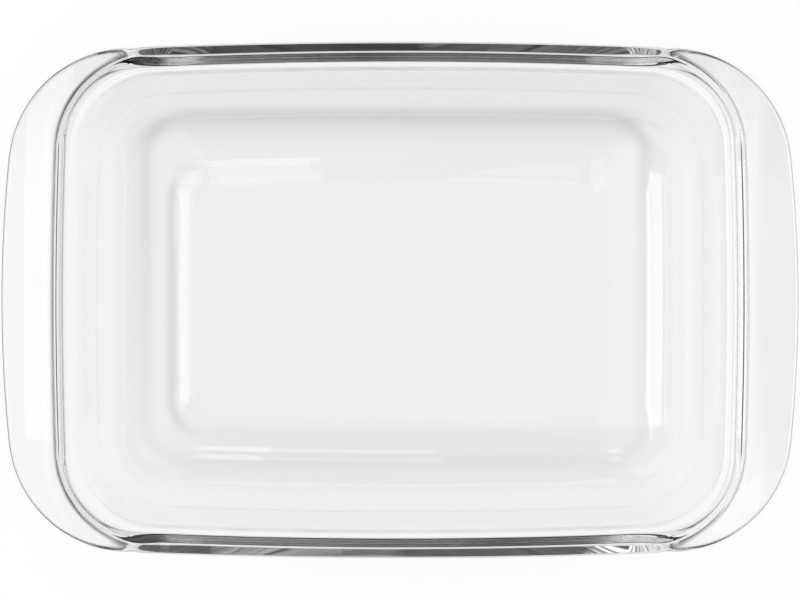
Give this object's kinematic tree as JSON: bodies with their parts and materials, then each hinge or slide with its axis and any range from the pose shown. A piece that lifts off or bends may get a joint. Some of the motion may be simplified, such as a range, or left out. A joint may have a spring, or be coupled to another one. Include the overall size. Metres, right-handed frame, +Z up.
{
  "type": "baking dish",
  "caption": "Rectangular clear glass baking dish with leaning walls, a rounded rim, a narrow lip along the long sides and a flat wing handle at each end, for ovens and air fryers.",
  "frame": {"origin": "middle of the foot, on the surface that the dish stands on", "axes": "+Z up out of the dish, X along the long sides towards the handles, Y across the dish"},
  "size_m": [0.2296, 0.1488, 0.058],
  "materials": {
    "clear_glass": "smooth pressed, glossy"
  },
  "bodies": {
    "root": {"glass_dish": "clear_glass"}
  },
  "joints": []
}
